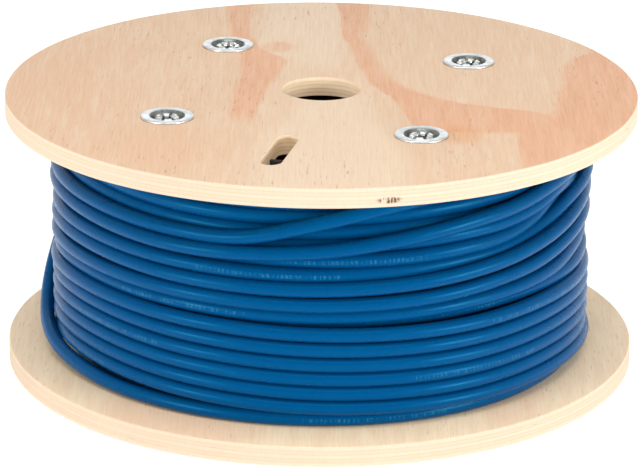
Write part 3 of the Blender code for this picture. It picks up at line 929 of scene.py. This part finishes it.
class Graph:
    """A node tree, with short ways to add nodes. Inputs are sockets or plain values."""

    def __init__(self, tree):
        self.tree = tree

    def give(self, socket, value):
        if isinstance(value, bpy.types.NodeSocket):
            self.tree.links.new(value, socket)
        else:
            socket.default_value = value

    def add(self, kind, inputs=None, **settings):
        """Adds a node. inputs maps an input's name or number to what it is given."""
        made = self.tree.nodes.new(kind)
        for name, value in settings.items():
            setattr(made, name, value)
        for name, value in (inputs or {}).items():
            self.give(made.inputs[name], value)
        return made

    def shade(self, inputs):
        """Gives values to the material's own shader."""
        shader = self.tree.nodes["Principled BSDF"]
        for name, value in inputs.items():
            self.give(shader.inputs[name], value)

    def calc(self, operation, *values):
        inputs = dict(enumerate(values))
        return self.add("ShaderNodeMath", inputs, operation=operation).outputs[0]

    plus = partialmethod(calc, "ADD")
    minus = partialmethod(calc, "SUBTRACT")
    over = partialmethod(calc, "DIVIDE")
    root = partialmethod(calc, "SQRT")
    fract = partialmethod(calc, "FRACT")
    below = partialmethod(calc, "LESS_THAN")
    above = partialmethod(calc, "GREATER_THAN")

    def times(self, first, *others):
        for other in others:
            first = self.calc("MULTIPLY", first, other)
        return first

    def most(self, first, *others):
        for other in others:
            first = self.calc("MAXIMUM", first, other)
        return first

    def away(self, value, middle):
        """How far value is from middle, either way."""
        return self.calc("ABSOLUTE", self.minus(value, middle))

    def shifted(self, value, cause, reach):
        """value moved by up to half of reach either way, as cause goes from 0 to 1."""
        return self.plus(value, self.times(self.minus(cause, 0.5), reach))

    def fade(self, value, start, end, low=0.0, high=1.0):
        """A smooth change from low to high as value goes from start to end."""
        names = ("Value", "From Min", "From Max", "To Min", "To Max")
        inputs = dict(zip(names, (value, start, end, low, high)))
        made = self.add("ShaderNodeMapRange", inputs, interpolation_type="SMOOTHSTEP")
        return made.outputs["Result"]

    def noise(self, vector, scale, detail=3.0, roughness=0.5):
        """Noise of one scale, or of a different scale along each axis."""
        if isinstance(scale, tuple):
            inputs = {0: vector, 1: scale}
            vector = self.add("ShaderNodeVectorMath", inputs, operation="MULTIPLY").outputs[0]
            scale = 1.0
        inputs = {"Vector": vector, "Scale": scale, "Detail": detail, "Roughness": roughness}
        return self.add("ShaderNodeTexNoise", inputs).outputs["Fac"]

    def axes(self, vector):
        return self.add("ShaderNodeSeparateXYZ", {0: vector}).outputs

    def blend(self, share, first, second, mode="MIX"):
        """Mixes two colours, each a socket or an RGB triple."""
        made = self.add("ShaderNodeMix", data_type="RGBA", blend_type=mode, clamp_factor=True)
        self.give(made.inputs[0], share)
        for socket, colour in ((made.inputs[6], first), (made.inputs[7], second)):
            self.give(socket, (*colour, 1.0) if isinstance(colour, tuple) else colour)
        return made.outputs[2]

    def bump(self, height, strength, distance, normal=None):
        inputs = {"Height": height, "Strength": strength, "Distance": distance}
        if normal is not None:
            inputs["Normal"] = normal
        return self.add("ShaderNodeBump", inputs).outputs["Normal"]

    def curve(self, value, points):
        """A smooth curve through points of (value, result), all within the figure's reach."""
        span = 2 * FIGURE_REACH
        share = self.over(self.plus(value, FIGURE_REACH), span)
        made = self.add("ShaderNodeFloatCurve", {"Value": share})
        line = made.mapping.curves[0]
        spots = [((v + FIGURE_REACH) / span, (r + FIGURE_REACH) / span) for v, r in points]
        line.points[0].location = spots[0]
        line.points[-1].location = spots[-1]
        for spot in spots[1:-1]:
            line.points.new(*spot)
        made.mapping.update()
        return self.minus(self.times(made.outputs[0], span), FIGURE_REACH)

    def streak(self, x, middle, inner, outer):
        """1 where x lies within inner of middle, fading to 0 at outer."""
        return self.fade(self.away(x, middle), outer, inner)

    def patch(self, x, y, centre, radii, softness):
        """1 inside an ellipse, fading to 0 outside it."""
        across = self.over(self.minus(x, centre[0]), radii[0])
        along = self.over(self.minus(y, centre[1]), radii[1])
        squares = self.plus(self.times(across, across), self.times(along, along))
        return self.fade(self.root(squares), 1 + softness, 1 - softness)


def new_material(name):
    """A material, its graph and the socket of places on the object."""
    material = bpy.data.materials.new(name)
    material.use_nodes = True
    g = Graph(material.node_tree)
    return material, g, g.add("ShaderNodeTexCoord").outputs["Object"]


# ---- Materials ----


def jacket_material():
    """The cable's satin jacket, with faint scuffs and rows of short printed dashes."""
    material, g, where = new_material("blue_jacket_satin")
    along = g.add("ShaderNodeUVMap", uv_map="along_cable").outputs["UV"]
    around, length, _ = g.axes(along)
    colour = g.blend(g.noise(along, (2.0, 9.0, 1.0)), JACKET_BLUE, JACKET_BLUE_DEEP)
    dust = g.noise(where, (90.0, 90.0, 180.0), 5.0, 0.65)
    colour = g.blend(g.fade(dust, 0.52, 0.8, 0.0, 0.16), colour, JACKET_SCUFF)
    # Printed dashes: a band along the outside of the cable, broken into strokes and groups
    turn_off = g.away(g.fract(g.plus(around, 0.5)), 0.5)
    band = g.fade(turn_off, PRINT_HALF_HEIGHT, PRINT_HALF_HEIGHT - 0.006)
    group = g.fract(g.over(g.plus(length, PRINT_PHASE), PRINT_REPEAT))
    in_group = g.below(group, PRINT_SHARE)
    cell = g.over(length, PRINT_STROKE)
    cell_number = {"W": g.calc("FLOOR", cell)}
    pick = g.add("ShaderNodeTexWhiteNoise", cell_number, noise_dimensions="1D").outputs["Value"]
    wide = g.below(g.fract(cell), g.times(pick, 0.75))
    worn = g.fade(g.noise(where, 900.0, 2.0), 0.3, 0.62)
    printed = g.times(band, in_group, wide, worn, PRINT_STRENGTH)
    # The twisted pairs show through as a slow ripple, under a fine satin grain
    ripple = g.bump(g.noise(along, (1.4, 55.0, 1.0), 1.0), 0.12, 0.0004)
    g.shade({
        "Base Color": g.blend(printed, colour, PRINT_COLOUR),
        "Roughness": g.fade(dust, 0.35, 0.75, 0.26, 0.4),
        "Normal": g.bump(g.noise(where, 1600.0, 3.0, 0.6), 0.08, 0.00006, ripple),
        "Specular IOR Level": 0.6,
        "IOR": 1.24,
        "Specular Tint": (0.06, 0.66, 1.0, 1.0),
    })
    return material


def plain_detail(name, colour, second, roughness, metallic, scale, grain=0.1, stretch=1):
    """A material whose colour, roughness and surface vary gently with one noise."""
    material, g, where = new_material(name)
    spread = g.noise(where, (scale, scale, scale * stretch), 4.0, 0.6)
    fine = g.noise(where, (scale * 4, scale * 4, scale * 4 * stretch))
    g.shade({
        "Base Color": g.blend(g.fade(spread, 0.35, 0.65), linear(*colour), linear(*second)),
        "Roughness": g.fade(spread, 0.3, 0.7, roughness, roughness + 0.12),
        "Metallic": metallic,
        "Normal": g.bump(fine, grain, 0.0001),
    })
    return material


def wood_grain(g, where, colour, fleck_amount):
    """Adds fine fibres, flecks and pores to a veneer's figure, with the grain along Y."""
    fibres = g.noise(where, (1100.0, 34.0, 200.0), 4.0, 0.62)
    colour = g.blend(g.fade(fibres, 0.38, 0.66, 0.0, 0.26), colour, WOOD_FIBRE, "MULTIPLY")
    flecks = g.noise(where, (1250.0, 95.0, 300.0), 1.5)
    fleck_area = g.fade(g.noise(where, (26.0, 11.0, 11.0), 2.0), 0.4, 0.58, 0.25, 1.0)
    dark = g.times(g.fade(flecks, 0.64, 0.73, 0.0, fleck_amount), fleck_area)
    colour = g.blend(dark, colour, WOOD_FLECK)
    pale = g.fade(g.noise(where, (700.0, 18.0, 100.0)), 0.6, 0.8, 0.0, 0.35)
    g.shade({
        "Base Color": g.blend(pale, colour, WOOD_CREAM),
        "Roughness": g.fade(fibres, 0.3, 0.7, 0.5, 0.66),
        "Normal": g.bump(fibres, 0.22, 0.00012),
        "Specular IOR Level": 0.3,
    })


def veneer_axes(g, where):
    """How far right and how far back a place on a veneer is, in mm."""
    return [g.times(axis, 1000.0) for axis in g.axes(where)[:2]]


def heart_streak(g, x, y):
    """The first salmon streak, from the far edge down past the arbor."""
    edge = g.minus(g.away(x, g.curve(y, STREAK_MIDDLE)), g.curve(y, STREAK_HALF_WIDTH))
    return g.times(g.fade(edge, 2.2, -2.2), g.fade(y, -60.0, -34.0))


def heart_band(g, x, y):
    """The second streak: a band beside the arbor that bends round a paler island."""
    right_of = g.fade(g.minus(x, g.curve(y, BAND_BORDER)), -1.2, 1.2)
    past_shore = g.fade(g.minus(x, g.curve(y, ISLAND_SHORE)), -4.0, 4.0)
    before_far = g.fade(g.minus(x, g.curve(y, ISLAND_FAR_SHORE)), 3.0, -3.0)
    island = g.times(past_shore, before_far, g.fade(y, -48.0, -34.0))
    corner = g.times(g.fade(x, 112.0, 120.0), g.fade(y, 64.0, 76.0))
    ends = g.fade(y, -72.0, -64.0)
    return g.times(right_of, g.minus(1.0, island), ends, g.minus(1.0, corner))


def top_face_material():
    """The upper board's softwood veneer: cream wood crossed by salmon heartwood bands."""
    material, g, where = new_material("plywood_upper_face")
    sway = g.noise(where, (30.0, 14.0, 14.0), 3.0, 0.55)
    ragged = g.noise(where, (240.0, 26.0, 40.0), 4.0, 0.6)
    x, y = veneer_axes(g, where)
    x = g.shifted(g.shifted(x, sway, 7.0), ragged, 6.0)
    colour = g.blend(g.fade(x, -150.0, -40.0), WOOD_PEACH, WOOD_BASE)
    colour = g.blend(g.fade(ragged, 0.4, 0.7, 0.0, 0.5), colour, WOOD_CREAM)
    # Cream bands beside the streaks
    cream = g.times(g.streak(x, -10.0, 14.0, 26.0), g.fade(y, 20.0, 60.0, 0.3, 1.0))
    across = g.minus(g.away(x, 4.0), g.fade(y, 10.0, -130.0, 14.0, 36.0))
    front = g.times(g.fade(across, 8.0, -8.0), g.fade(y, 30.0, -10.0))
    colour = g.blend(g.times(g.most(cream, front), 0.85), colour, WOOD_CREAM)
    # Salmon heartwood: the two streaks, and patches at the front right, front left, left edge
    # and beside the first streak
    right = g.times(g.fade(x, 89.5, 93.0), g.fade(y, -52.0, -66.0))
    right = g.times(right, g.fade(y, -150.0, -96.0, 0.4, 1.0))
    left = g.times(g.patch(x, y, (-74.0, -92.0), (22.0, 34.0), 0.5), 0.35)
    edge = g.times(g.patch(x, y, (-128.0, 2.0), (20.0, 34.0), 0.5), 0.3)
    swirl = g.patch(x, y, (-21.0, 70.0), (8.0, 9.0), 0.4)
    heart = g.most(heart_streak(g, x, y), heart_band(g, x, y), right, left)
    heart = g.most(heart, g.times(g.most(swirl, edge), 0.7))
    heart = g.times(heart, g.fade(ragged, 0.2, 0.5, 0.7, 1.0), 0.85)
    salmon = g.blend(g.fade(ragged, 0.35, 0.65), WOOD_SALMON, WOOD_SALMON_DEEP)
    colour = g.blend(heart, colour, salmon)
    stain = g.patch(x, y, (64.0, -72.0), (9.0, 13.0), 0.5)
    wood_grain(g, where, g.blend(g.times(stain, 0.45), colour, WOOD_STAIN), 0.5)
    return material


def lower_face_material():
    """The lower board's paler veneer, with a pinkish patch towards the front."""
    material, g, where = new_material("plywood_lower_face")
    sway = g.noise(where, (26.0, 12.0, 12.0), 3.0, 0.55)
    ragged = g.noise(where, (200.0, 22.0, 40.0), 4.0, 0.6)
    x, y = veneer_axes(g, where)
    x = g.shifted(x, sway, 26.0)
    colour = g.blend(g.fade(ragged, 0.35, 0.7), LOWER_CREAM, LOWER_BASE)
    pink = g.times(g.patch(x, y, (-66.0, -118.0), (38.0, 46.0), 0.4), 0.7)
    pink = g.most(pink, g.times(g.streak(x, 92.0, 8.0, 20.0), 0.45))
    wood_grain(g, where, g.blend(pink, colour, LOWER_PINK), 0.4)
    return material


def knot_mask(g, axes):
    """One dark knot in the upper board's edge, a little right of the middle."""
    spot = on_spool(FLANGE_RADIUS, KNOT_ANGLE, TOP_INNER + KNOT_HEIGHT)
    across = g.over(g.minus(axes[0], spot.x), KNOT_HALF_WIDTH)
    rise = g.over(g.minus(axes[2], spot.z), KNOT_HALF_HEIGHT)
    reach = g.root(g.plus(g.times(across, across), g.times(rise, rise)))
    at_front = g.below(axes[1], -0.1)
    return g.times(g.fade(reach, 1.15, 0.5), at_front)


def edge_material(name, pale, end_grain, glue_colour, glue_strength):
    """The boards' cut edges: plies from the side and from the end, glue lines and core voids."""
    material, g, where = new_material(name)
    axes = g.axes(where)
    z = g.shifted(axes[2], g.noise(where, (26.0, 26.0, 60.0)), 0.0007)
    upper = g.above(z, (TOP_INNER + BOTTOM_INNER) / 2)
    base = g.plus(g.times(upper, TOP_INNER - BOTTOM_OUTER), BOTTOM_OUTER)
    ply = g.times(g.minus(z, base), PLY_COUNT / (TOP_OUTER - TOP_INNER))
    share = g.fract(ply)
    odd = g.calc("MODULO", g.plus(g.calc("FLOOR", ply), 20.0), 2.0)
    near_line = g.calc("MINIMUM", share, g.minus(1.0, share))
    patchy = g.fade(g.noise(where, 45.0, 2.0), 0.3, 0.62, 0.25, 1.0)
    glue = g.times(g.fade(near_line, 0.17, 0.03), patchy, glue_strength)
    colour = g.blend(g.times(odd, glue_strength), pale, end_grain)
    ends = g.noise(where, (900.0, 900.0, 260.0), 3.0, 0.6)
    colour = g.blend(g.fade(ends, 0.4, 0.72, 0.0, 0.3), colour, end_grain)
    colour = g.blend(glue, colour, glue_colour)
    # Core voids: rare short dark slits in the middle plies
    lone = g.fade(g.noise(where, (90.0, 90.0, 500.0), 1.0, 0.4), 0.74, 0.8)
    void = g.times(lone, g.above(ply, 1.1), g.below(ply, PLY_COUNT - 1.1), 0.4)
    dark = g.most(void, g.times(knot_mask(g, axes), g.fade(ends, 0.36, 0.56)))
    g.shade({
        "Base Color": g.blend(dark, colour, EDGE_VOID),
        "Roughness": 0.72,
        "Specular IOR Level": 0.25,
        "Normal": g.bump(g.minus(g.times(ends, 0.5), g.times(dark, 2.0)), 0.35, 0.0002),
    })
    return material


jacket = jacket_material()
foil = plain_detail("screen_foil", (196, 198, 200), (160, 163, 166), 0.3, 1.0, 900.0)
core_white = plain_detail("core_white", (226, 226, 220), (206, 206, 200), 0.4, 0.0, 900.0)
core_colour = plain_detail("core_green", (70, 138, 84), (56, 118, 70), 0.4, 0.0, 900.0)
copper = plain_detail("core_copper", (214, 140, 96), (190, 118, 78), 0.25, 1.0, 1200.0)
zinc = plain_detail("zinc_bright", (229, 232, 233), (206, 211, 213), 0.28, 1.0, 260.0, 0.12)
# Far darker zinc for the washers' bowls: painted shade in the hollow.
zinc_dish_painted_shade = plain_detail("zinc_painted_dish_shade", (146, 148, 140), (100, 102, 97), 0.4, 1.0, 300.0, 0.2)
zinc_petal = plain_detail("zinc_rolled", (248, 249, 247), (214, 216, 216), 0.22, 1.0, 420.0, 0.2)
staple_steel = plain_detail("staple_galvanised", (176, 177, 176), (148, 149, 149), 0.34, 1.0, 500.0)
paperboard = plain_detail("paperboard", (44, 34, 27), (32, 25, 20), 0.8, 0.0, 60.0, 0.3, 6)
ply_top_face = top_face_material()
ply_lower_face = lower_face_material()
ply_edge = edge_material("plywood_edge", EDGE_PALE, EDGE_END_GRAIN, EDGE_GLUE, 0.34)
# The bore copy: the edge material in brighter colours, painted light for the walls inside the
# board.
ply_bore_painted_light = edge_material("plywood_bore_painted_light", BORE_PALE_PAINTED_LIGHT, BORE_END_GRAIN_PAINTED_LIGHT, BORE_GLUE_PAINTED_LIGHT, 0.36)


# ---- Building the spool ----

route = cable_route()
cable = tube("wound_cable", route, CABLE_RADIUS, TUBE_SIDES)
cable_nodes = ("cable_winding", "cable_crossing_turn", "cable_last_turn", "cable_inner_end")
place(cable, [jacket], "blue_jacket", *cable_nodes)
inner_cut = cable_cut("inner_cut_end", route[0], route[0] - route[1])
outer_cut = cable_cut("outer_cut_end", route[-1], route[-1] - route[-2])
make_boards()
make_barrel()
make_washers()
for tube_number, tie_angle in enumerate(TIE_ANGLES, 1):
    make_tie_tube(tube_number, tie_angle)
for staple_number, staple_angle in enumerate(STAPLE_ANGLES, 1):
    make_staple(staple_number, staple_angle)


# ---- Floor, light and camera ----

FLOOR_HALF = 12.0
FLOOR_GLOW = 0.3
HORIZON_STRENGTH = 1.02
SKY_STRENGTH = 0.60
FRONT_SKY_STRENGTH = 0.36
HORIZON_TOP = 0.19
HORIZON_FADED = 0.3
FRONT_SKY_FULL = -0.9

# Name, azimuth and elevation in degrees, distance, width and height in metres, and watts
SOFTBOXES = (
    ("left_softbox", -142, 8, 1.7, 0.5, 0.6, 15),
    ("right_softbox", -34, 8, 1.7, 0.5, 0.6, 20),
    ("overhead_softbox", -90, 72, 1.8, 1.6, 1.2, 19),
    ("far_softbox", 90, 21, 2.6, 2.0, 0.7, 3.4),
)
SOFTBOX_TARGET = Vector((0, 0, 0.07))

CAMERA_ELEVATION = radians(19.165)
CAMERA_ROLL = 0.0078
CAMERA_TARGET = Vector((-0.0001, 0.0, 0.06005))
CAMERA_DISTANCE = 1.9640
CAMERA_LENS = 226.32
CAMERA_SENSOR = 36.0
CAMERA_CLIP = 0.05


def make_floor():
    half = FLOOR_HALF
    corners = [(-half, -half, 0), (half, -half, 0), (half, half, 0), (-half, half, 0)]
    mesh = bpy.data.meshes.new("studio_floor")
    mesh.from_pydata(corners, [], [(0, 1, 2, 3)])
    mesh.update()
    material, g, where = new_material("studio_floor_white")
    tone = g.fade(g.noise(where, 3.0, 2.0), 0.3, 0.7)
    g.shade({
        "Base Color": g.blend(tone, FLOOR_DULL, FLOOR_BRIGHT),
        "Roughness": 0.9,
        "Specular IOR Level": 0.1,
        "Emission Color": WHITE,
        "Emission Strength": FLOOR_GLOW,
    })
    mesh.materials.append(material)
    link(bpy.data.objects.new("studio_floor", mesh))


def softbox(name, azimuth, elevation, distance, width, height, power):
    """A rectangular light that faces the spool's middle."""
    light = bpy.data.lights.new(name, "AREA")
    light.shape = "RECTANGLE"
    light.size = width
    light.size_y = height
    light.energy = power
    lamp = link(bpy.data.objects.new(name, light))
    lift = radians(elevation)
    way = on_spool(cos(lift), radians(azimuth), sin(lift))
    lamp.location = SOFTBOX_TARGET + way * distance
    lamp.rotation_euler = way.to_track_quat("Z", "Y").to_euler()


def make_camera():
    """Looks down on the spool from the front, from about two metres away."""
    back = Vector((0, -cos(CAMERA_ELEVATION), sin(CAMERA_ELEVATION)))
    right = Vector((1, 0, 0))
    up = back.cross(right)
    tilted_right = right * cos(CAMERA_ROLL) + up * sin(CAMERA_ROLL)
    tilted_up = up * cos(CAMERA_ROLL) - right * sin(CAMERA_ROLL)
    data = bpy.data.cameras.new("camera")
    data.lens = CAMERA_LENS
    data.sensor_width = CAMERA_SENSOR
    data.clip_start = CAMERA_CLIP
    camera = link(bpy.data.objects.new("camera", data))
    columns = Matrix((tilted_right, tilted_up, back)).transposed().to_4x4()
    spot = CAMERA_TARGET + back * CAMERA_DISTANCE
    camera.matrix_world = Matrix.Translation(spot) @ columns
    bpy.context.scene.camera = camera


def make_world():
    """A plain studio: white along the horizon, dimmer overhead and dimmest high in front."""
    world = bpy.data.worlds.new("studio")
    world.use_nodes = True
    g = Graph(world.node_tree)
    background = world.node_tree.nodes["Background"]
    background.inputs["Color"].default_value = WHITE
    _, y, z = g.axes(g.add("ShaderNodeTexCoord").outputs["Generated"])
    sky = g.fade(y, FRONT_SKY_FULL, 0.0, FRONT_SKY_STRENGTH, SKY_STRENGTH)
    strength = g.fade(z, HORIZON_TOP, HORIZON_FADED, HORIZON_STRENGTH, sky)
    g.give(background.inputs["Strength"], strength)
    scene = bpy.context.scene
    scene.world = world
    scene.view_settings.view_transform = "Standard"
    scene.view_settings.look = "None"
    scene.view_settings.exposure = 0.0


make_floor()
for row in SOFTBOXES:
    softbox(*row)
make_world()
make_camera()
